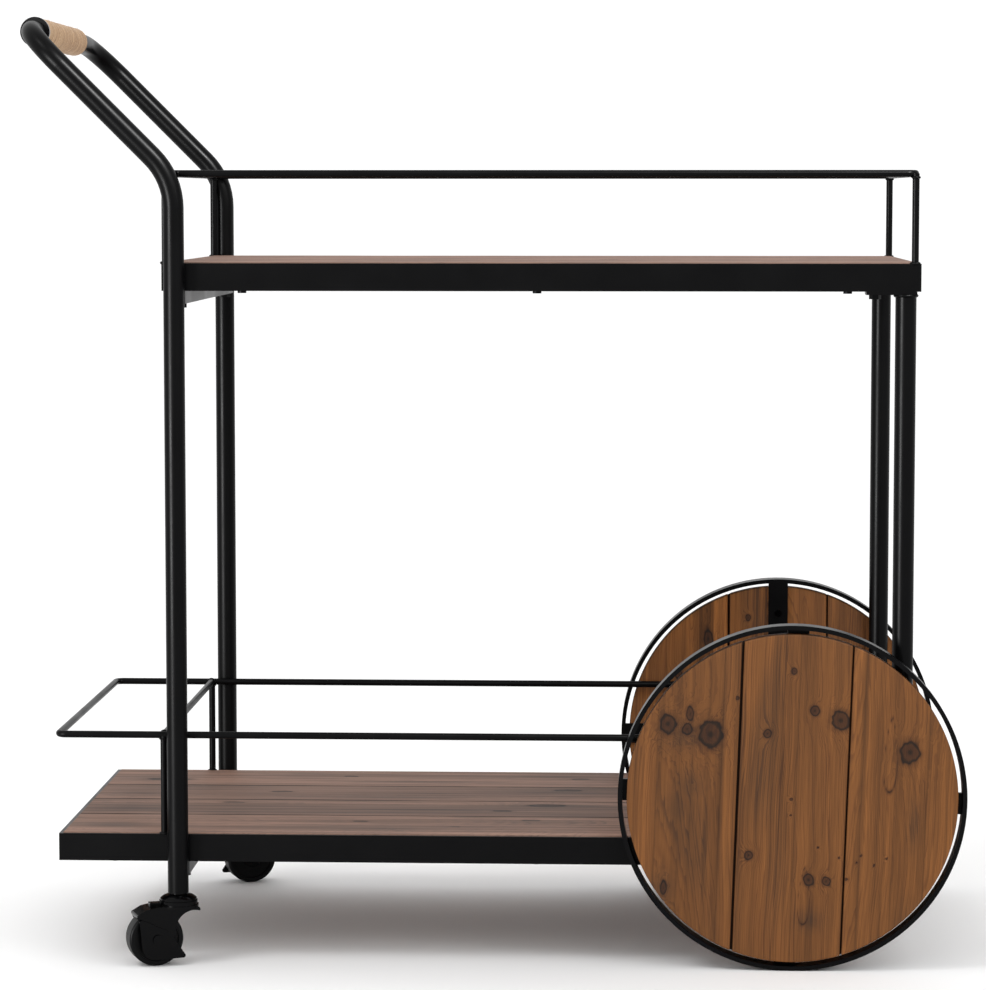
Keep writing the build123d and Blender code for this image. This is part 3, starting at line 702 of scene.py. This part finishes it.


def shelf_plank(shelf, number):
    """One straight board: a grid along and across it, carried to its upper and lower faces."""
    node = f"{shelf}_board_{number + 1}"
    low, high = (np.array(corner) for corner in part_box(node))
    middle = (low + high) / 2
    glue_lines = [middle[1] + g * MM for g in shelf_glue_lines[number]]
    rows = lines_between(low[0], high[0], 6 * MM)
    columns = lines_between(low[1], high[1], 2 * MM, glue_lines)
    along, across = np.meshgrid(rows, columns, indexing="ij")
    from_rim = np.minimum.reduce((along - low[0], high[0] - along, across - low[1], high[1] - across))
    fall = worn(np.clip(from_rim, 0, None))
    glued = near_glue(across, glue_lines)
    knots, stains = (
        [(middle[1] / MM + y, middle[0] / MM + x, radius, length) for x, y, radius, length in places]
        for places in (shelf_knots[shelf][number], shelf_stains)
    )
    # A strip along each seam between boards is painted near-black: painted shade in the gap
    by_low_seam = (across - low[1] < dark_edge) & (number > 0)
    by_high_seam = (high[1] - across < dark_edge) & (number < 3)
    painted_seam_shade = by_low_seam | by_high_seam
    seed = 200 + 10 * number + (50 if shelf == "lower" else 0)
    growths, all_marks, slab = [], [], []
    for height, inward in ((high[2], -1), (low[2], 1)):
        growth, marks = grain(
            across,
            along,
            high[2] - height,
            glue_lines,
            shelf_tones[shelf][number],
            knots,
            stains,
            (),
            seed,
        )
        marks[painted_seam_shade.ravel(), 0] = 0.5
        planed = 0.15 * MM * np.abs(waver(across, along * 0.3, 45 * MM, seed + 7))
        sunk = 0.4 * MM * np.clip(marks[:, 0].reshape(across.shape) - 0.4, 0, 1)
        z = height + inward * (fall + planed + sunk + 0.15 * MM * glued)
        slab.append(np.stack((along, across, z), axis=-1).reshape(-1, 3))
        growths.append(growth)
        all_marks.append(marks)
    piece = make_piece(
        f"{shelf}_plank_{number + 1}",
        np.concatenate(slab),
        slab_faces(*across.shape),
        shelf_wood,
        "cart_frame",
        {"growth": np.concatenate(growths), "marks": np.concatenate(all_marks)},
    )
    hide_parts(node)


for shelf in ("upper", "lower"):
    for number in range(4):
        shelf_plank(shelf, number)

# %% [markdown]
# ## The twine on the handle
#
# Two-millimetre twine is wound turn against turn round the handle's sleeve. Its centre line
# is a helix, and its section is not a circle but a slightly pinched one that turns as it
# goes, which gives the two plies. The tube is a grid: one parameter runs along the helix
# and the other round the section.

# %% Twine
def tube(path, outwards, radii, sides):
    """A tube: circles of the given radii (rows by sides) across a path, measured from outwards."""
    ahead = np.gradient(path, axis=0)
    ahead /= np.linalg.norm(ahead, axis=1, keepdims=True)
    sideways = np.cross(ahead, outwards)
    sideways /= np.linalg.norm(sideways, axis=1, keepdims=True)
    upright = np.cross(sideways, ahead)
    turn = np.linspace(0, 2 * pi, sides, endpoint=False)[None, :, None]
    ring = np.cos(turn) * upright[:, None] + np.sin(turn) * sideways[:, None]
    return path[:, None] + radii[:, :, None] * ring


def tube_faces(rows, sides):
    """Quads along a tube, and caps of quads that fan out from the first point of each end."""
    fan = np.array([[0, 2 * k + 1, 2 * k + 2, 2 * k + 3] for k in range((sides - 2) // 2)])
    return np.concatenate((grid_quads(rows, sides, wrap=True), fan, fan[:, ::-1] + (rows - 1) * sides))


grip_low, grip_high = (np.array(corner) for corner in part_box("grip_wrap"))
grip_axis = (grip_low + grip_high) / 2
wrap_radius = (grip_high[2] - grip_low[2]) / 2
twine_radius = 1.0 * MM
twine_pitch = 2.05 * MM
steps_per_turn = 50
ply_length = 7.5 * MM
twine_sides = 8
bedding = 1.12                              # how far its middle lies under the wrap's skin, in radii
squeeze, pinch_depth = 0.88, 0.14           # its mean radius, and how much the pinch changes it
turns = (grip_high[1] - grip_low[1] - 2 * twine_radius) / twine_pitch
winding = np.linspace(0, turns, int(turns * steps_per_turn))
angle = 2 * pi * winding
unevenness = waver(winding * 7 * MM, 0 * winding, 20 * MM, 5)
centre_radius = wrap_radius - bedding * twine_radius + 0.1 * MM * unevenness
spokes = np.stack((np.cos(angle), 0 * angle, np.sin(angle)), axis=-1)
path = spokes * centre_radius[:, None]
path[:, 0] += grip_axis[0]
path[:, 1] += grip_low[1] + twine_radius + winding * twine_pitch
path[:, 2] += grip_axis[2]
travelled = winding * 2 * pi * (wrap_radius - twine_radius)
round_it = np.linspace(0, 2 * pi, twine_sides, endpoint=False)
pinch = 1 + pinch_depth * np.cos(2 * (round_it[None] - 2 * pi * travelled[:, None] / ply_length))
taper = np.clip(np.minimum(winding, turns - winding) * 12, 0.05, 1)
points = tube(path, spokes, twine_radius * squeeze * pinch * taper[:, None], twine_sides)
faces = tube_faces(len(path), twine_sides)
yarn_values = (
    travelled[:, None] * 0.25 + round_it[None] * 0.3 * MM,
    round_it[None] / (2 * pi),
    winding[:, None] * MM,
)
yarn_place = np.stack(np.broadcast_arrays(*yarn_values), axis=-1)
twine = make_piece(
    "handle_twine", points.reshape(-1, 3), faces, jute, "cart_frame", {"yarn": yarn_place.reshape(-1, 3)}
)
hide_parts("grip_wrap")

# %% [markdown]
# ## Loose hairs and the twine's tail
#
# Jute sheds. Short hairs stand off the winding at all angles, and each one bends over
# before it ends: its path leaves the twine along a spoke and drifts sideways with the square
# of the distance. The cut end of the twine has frayed to one strand, which lies along the
# handle beyond the grip.

# %% Hairs and tail
hair_count, hair_rows, hair_sides = 240, 6, 4
hair_thickness, tail_thickness = 0.07 * MM, 0.45 * MM
shortest_hair, longest_hair = 2.0, 6.5          # millimetres
hair_depth = 0.4 * MM                           # a hair starts this far inside the wrap
bare_end = 2 * MM                               # no hair starts nearer to the grip's ends
tail_length = 34 * MM
random = np.random.default_rng(31)
hair_points, hair_faces, hair_yarn = [], [], []


def add_shell(points, faces, all_points, all_faces):
    """One closed shell, turned to face outwards, added to the lists that make up a piece."""
    start = sum(len(part) for part in all_points)
    all_points.append(points)
    all_faces.append((faces if is_outward(points, faces) else faces[:, ::-1]) + start)


def add_strand(path, outwards, thickness):
    """One strand: a tube whose radius shrinks with the square root of what is left of it."""
    thinning = thickness * np.sqrt(np.linspace(1, 0.05, len(path)))
    radii = np.repeat(thinning[:, None], hair_sides, axis=1)
    strand = tube(path, outwards, radii, hair_sides).reshape(-1, 3)
    add_shell(strand, tube_faces(len(path), hair_sides), hair_points, hair_faces)
    hair_yarn.append(np.column_stack((np.arange(len(strand)) * MM, strand[:, 0], strand[:, 1])))


for _ in range(hair_count):
    turn = random.uniform(0, 2 * pi)
    root = np.array([cos(turn), 0.0, sin(turn)]) * (wrap_radius - hair_depth)
    root_y = random.uniform(grip_low[1] + bare_end, grip_high[1] - bare_end)
    root += (grip_axis[0], root_y, grip_axis[2])
    length = random.uniform(shortest_hair, longest_hair) * MM
    lean = random.normal(0, 0.6, 3)
    bend = random.normal(0, 0.5, 3)
    step = np.linspace(0, 1, hair_rows)[:, None]
    spoke = np.array([cos(turn), 0.0, sin(turn)]) * 0.6 + lean
    path = root + length * (step * spoke + step**2 * bend)
    add_strand(path, np.array([[0.31, 0.9, 0.27]]), hair_thickness)

step = np.linspace(0, 1, 24)[:, None]
tail_turn = 0.9 + 0.5 * step
tail_reach = wrap_radius - 1.5 * MM - 1.6 * MM * step + 0.6 * MM * np.sin(9 * step)
tail = np.hstack(
    (
        grip_axis[0] + np.cos(tail_turn) * tail_reach,
        grip_high[1] - 1.5 * MM + tail_length * step,
        grip_axis[2] + np.sin(tail_turn) * tail_reach,
    )
)
add_strand(tail, np.array([[1.0, 0.0, 0.2]]), tail_thickness)
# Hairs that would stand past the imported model's box are pressed flat against its side
hairs = make_piece(
    "jute_hairs",
    np.clip(np.concatenate(hair_points), cad_low, cad_high),
    np.concatenate(hair_faces),
    jute,
    "cart_frame",
    {"yarn": np.concatenate(hair_yarn)},
)

# %% [markdown]
# ## Weld beads
#
# A welder runs a bead round the end of each rod. A bead is a ring whose section swells and
# shrinks as each puddle froze on the last, about every millimetre and a half. Where a round
# leg only touches a rail, a short tack each side of the touch holds it instead.

# %% Weld beads
weld_points, weld_faces = [], []
puddle_mm = 1.5                             # how far apart the frozen puddles are


def add_ring_weld(centre_mm, axis, ring_mm, bead_mm):
    """A rippled ring about the X, Y or Z axis: a torus whose section swells once for each puddle."""
    rows, sides = 96, 8
    turn = np.linspace(0, 2 * pi, rows, endpoint=False)[:, None]
    section = np.linspace(0, 2 * pi, sides, endpoint=False)[None]
    puddles = round(2 * pi * ring_mm / puddle_mm)
    ripples = 0.14 * np.abs(np.sin(puddles * turn / 2))
    bead = bead_mm * (0.92 + ripples + 0.08 * np.sin(3 * turn + ring_mm))
    reach = ring_mm + bead * np.cos(section)
    height = bead * np.sin(section)
    local = np.stack(np.broadcast_arrays(reach * np.cos(turn), reach * np.sin(turn), height), axis=-1)
    order = {"Z": (0, 1, 2), "X": (2, 0, 1), "Y": (1, 2, 0)}[axis]
    points = (local[..., order] + np.array(centre_mm)).reshape(-1, 3) * MM
    faces = grid_quads(rows, sides, wrap=True)
    last, first = np.arange(sides) + (rows - 1) * sides, np.arange(sides)
    closing = np.stack((last, np.roll(last, -1), np.roll(first, -1), first), axis=-1)
    add_shell(points, np.concatenate((faces, closing)), weld_points, weld_faces)


def add_tack(centre_mm, length_mm, bead_mm):
    """A short upright tack: a tube whose radius follows a half circle, so both ends are round."""
    rows, sides = 14, 8
    step = np.cos(np.linspace(pi, 0, rows))
    path = np.array(centre_mm) + step[:, None] * np.array([0.0, 0.0, length_mm / 2])
    radii = bead_mm * np.sqrt(np.clip(1 - step**2, 0.02, 1)) * (1 + 0.1 * np.sin(8 * step))
    radii = np.repeat(radii[:, None], sides, axis=1) * MM
    points = tube(path * MM, np.array([[1.0, 0.0, 0.0]]), radii, sides).reshape(-1, 3)
    add_shell(points, tube_faces(rows, sides), weld_points, weld_faces)


# Where the rods and the tubes meet, in millimetres
rail_y = 177.3                                     # axis of both rails' long rods
upper_iron, lower_iron = 639.3, 117.1              # tops of the two shelf frames
upper_rail, lower_rail = 720.0, 208.5              # axes of the two rails
upper_post_x, bay_post_x = (-293.2, 382.5), -298.0
leg_x, leg_y, leg_inner_y = 375.0, 171.0, 161.5    # the wheel-side legs and their inner sides
leg_top, leg_foot = 610.6, 121.8                   # where a leg meets its two plates
lower_rail_end_x = 367.2                           # where the long rod runs into the leg
tack_x, tack_y, tack_aside = -284.0, 180.6, 3.2    # where a rail touches a handle-side leg
tack_length, tack_bead = 6.0, 1.5
for side in (-1, 1):
    for post_x in upper_post_x:
        add_ring_weld((post_x, side * rail_y, upper_iron + 0.3), "Z", 3.5, 1.3)
        add_ring_weld((post_x, side * rail_y, upper_rail - 3.6), "Z", 3.3, 1.0)
    add_ring_weld((bay_post_x, side * rail_y, lower_iron + 0.3), "Z", 3.5, 1.3)
    add_ring_weld((bay_post_x, side * rail_y, lower_rail - 3.4), "Z", 3.3, 1.0)
    add_ring_weld((bay_post_x, side * (rail_y - 3.4), lower_rail), "Y", 3.3, 1.0)
    add_ring_weld((lower_rail_end_x, side * rail_y, lower_rail), "X", 3.4, 1.2)
    add_ring_weld((leg_x, side * (leg_inner_y - 0.3), lower_rail), "Y", 3.4, 1.2)
    for leg_end in (leg_top, leg_foot):
        add_ring_weld((leg_x, side * leg_y, leg_end), "Z", 9.7, 1.5)
    for aside in (-tack_aside, tack_aside):
        for rail in (upper_rail, lower_rail):
            add_tack((tack_x + aside, side * tack_y, rail), tack_length, tack_bead)
welds = make_piece(
    "weld_beads", np.concatenate(weld_points), np.concatenate(weld_faces), powder_coat, "cart_frame"
)

# %% [markdown]
# ## Finishes for the metalwork
#
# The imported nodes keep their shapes, and each one takes the finish that its slot names.
# The parts of a caster share one gloss black enamel, with rubber and plastic in its roller.

# %% Finishes by slot
finish_of_slot = {
    "black_powder_coat": powder_coat,
    "caster_black_steel": stove_enamel,
    "black_plastic": hub_plastic,
    "black_rubber": tread_rubber,
    "zinc_steel": zinc_plate,
    "shelf_wood": shelf_wood,
    "wheel_wood": wheel_wood,
    "jute_twine": jute,
}
for entry in frame["record"]["subparts"]:
    materials = nodes[entry["node"]].data.materials
    materials.clear()
    materials.append(finish_of_slot[entry["material_slot"]])
nodes["grip_sleeve"].data.materials[0] = collar_plastic
for side_name in ("near", "far"):
    nodes[f"{side_name}_wheel_screws"].data.materials[0] = stove_enamel       # blacked heads

# Folded, sawn and pressed steel has no knife edges: each is eased by less than a millimetre
eased = {
    "upper_frame": 0.6,
    "lower_frame": 0.6,
    "near_wheel_rim": 0.5,
    "far_wheel_rim": 0.5,
    "near_caster_fork": 0.4,
    "far_caster_fork": 0.4,
    "near_caster_brake": 0.4,
    "far_caster_brake": 0.4,
}
for node_name, ease_mm in eased.items():
    bevel = nodes[node_name].modifiers.new("eased_edges", "BEVEL")
    bevel.width = ease_mm * MM
    bevel.segments = 2
    bevel.limit_method = "ANGLE"
    bevel.angle_limit = radians(50)
    bevel.harden_normals = True

# %% [markdown]
# ## Floor and light
#
# A pale floor and an even white surround show a dark, thin frame best. A soft lamp high on
# the left lights the boards, and a weaker one on the right keeps the wheels from going
# flat. Black paint shows its shape only by its highlights. So two more lamps give nothing
# else: one high on the right for the handle's slopes and the tops of the rods, and one low
# on the left for the upright legs.

# %% Floor and light
def soft_lamp(name, place, aim, size, power):
    """A square area lamp turned to face a point."""
    data = bpy.data.lights.new(name, "AREA")
    data.size = size
    data.energy = power
    lamp = bpy.data.objects.new(name, data)
    lamp.location = place
    direction = np.array(place) - np.array(aim)
    lamp.rotation_euler = (
        np.arctan2(np.hypot(direction[0], direction[1]), direction[2]),
        0.0,
        np.arctan2(direction[0], -direction[1]),
    )
    bpy.context.scene.collection.objects.link(lamp)
    return lamp


soft_lamp("key", (-1.6, -1.2, 2.6), (0.0, 0.0, 0.4), 0.8, 16.0)
soft_lamp("fill", (2.4, -1.8, 1.6), (0.2, 0.0, 0.3), 0.8, 8.0)
# Two lamps seen only as highlights: they light no matt surface, so they throw no shadow on it
for name, place, aim, size, power in (
    ("upper_highlight", (1.15, -2.0, 2.7), (-0.35, -0.19, 0.78), 0.6, 260.0),
    ("side_highlight", (-2.4, -2.6, 0.35), (-0.28, -0.19, 0.4), 0.8, 170.0),
):
    soft_lamp(name, place, aim, size, power).visible_diffuse = False

floor_data = bpy.data.meshes.new("floor")
floor_reach = 60.0                          # so far that no view shows the floor's edge
floor_corners = [(x * floor_reach, y * floor_reach, 0) for x, y in ((-1, -1), (1, -1), (1, 1), (-1, 1))]
floor_data.from_pydata(floor_corners, [], [(0, 1, 2, 3)])
floor_paint, tree, shader = start_material(
    "matt_white_studio_floor", {"Base Color": hex_colour("#fbfbfb"), "Specular IOR Level": 0.1}
)
place = add(tree, "ShaderNodeTexCoord").outputs["Object"]
scuffs = add(tree, "ShaderNodeTexNoise", {"Vector": place, "Scale": 3.0}).outputs[0]
rough = add(tree, "ShaderNodeMapRange", {0: scuffs, "To Min": 0.85, "To Max": 0.95}).outputs[0]
link(tree, rough, shader, "Roughness")
floor_data.materials.append(floor_paint)
floor = bpy.data.objects.new("floor", floor_data)
bpy.context.scene.collection.objects.link(floor)

surround = bpy.data.worlds.new("white_surround")
surround.use_nodes = True
surround.node_tree.nodes["Background"].inputs["Color"].default_value = (1.0, 1.0, 1.0, 1.0)
surround.node_tree.nodes["Background"].inputs["Strength"].default_value = 1.1
bpy.context.scene.world = surround
bpy.context.scene.view_settings.view_transform = "Standard"
print("floor, four lamps and a white surround made")
